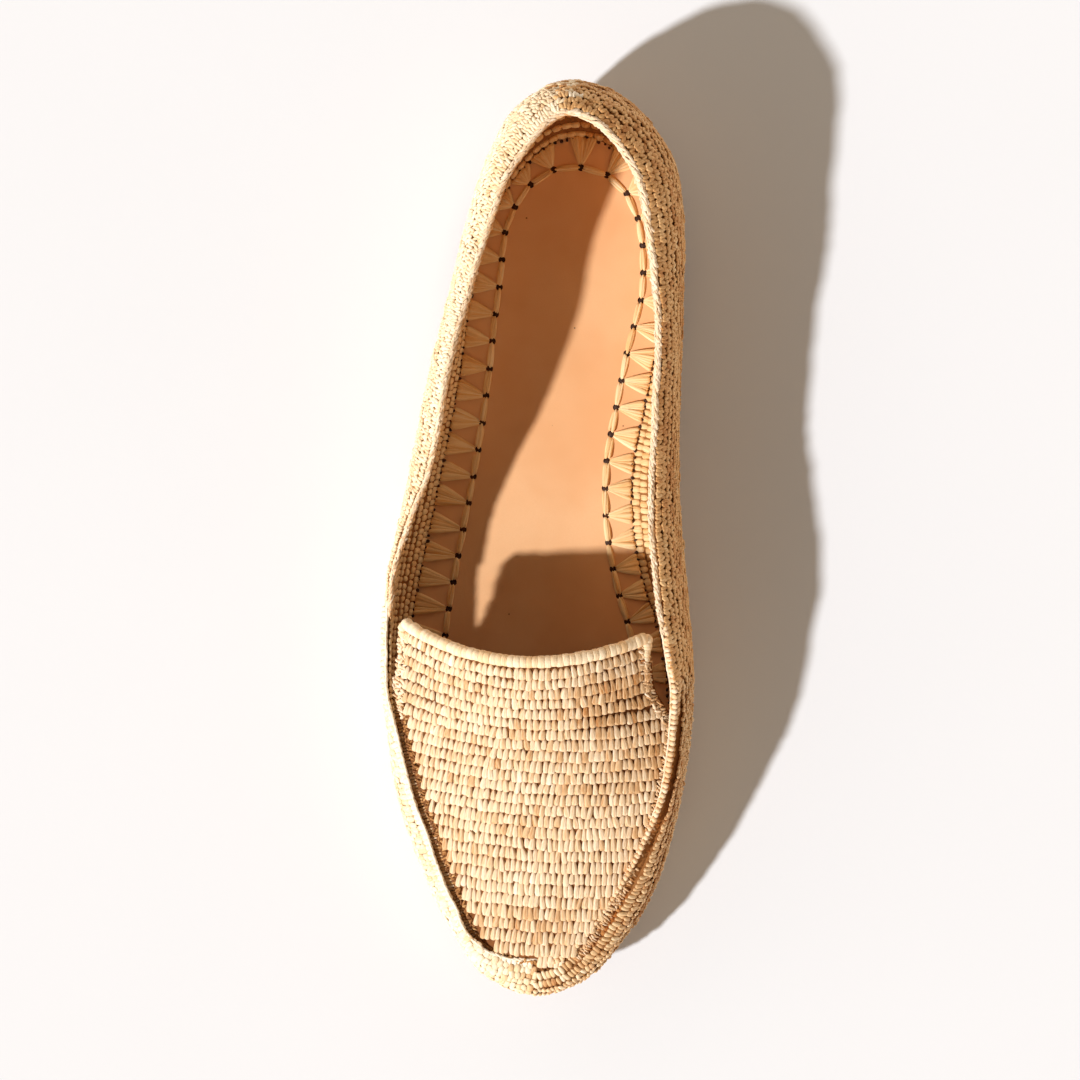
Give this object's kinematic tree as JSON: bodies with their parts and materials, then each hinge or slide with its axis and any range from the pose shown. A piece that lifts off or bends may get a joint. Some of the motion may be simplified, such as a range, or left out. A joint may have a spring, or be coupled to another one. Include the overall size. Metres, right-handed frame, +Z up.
{
  "type": "woven loafer",
  "caption": "Flat slip-on shoe, woven raffia upper with a domed apron sewn inside a standing ridge, whipped collar, leather insole and thin leather sole with a low heel.",
  "frame": {"origin": "middle of the footprint's box, on the floor", "axes": "+Z up, +Y towards the heel, +X towards the medial side (this is a right shoe)"},
  "size_m": [0.0917, 0.268, 0.0561],
  "materials": {
    "woven_raffia": "natural raffia, tightly woven, dry satin sheen",
    "wrapped_raffia": "raffia strands wrapped over a cord, satin",
    "insole_leather": "smooth vegetable-tanned leather, satin",
    "sole_leather": "natural sole leather, matte",
    "heel_leather": "stacked leather, matte"
  },
  "bodies": {
    "root": {"upper": "woven_raffia", "throat_roll": "wrapped_raffia", "collar_roll": "wrapped_raffia", "insole": "insole_leather", "outsole": "sole_leather", "heel_lift": "heel_leather"}
  },
  "joints": []
}
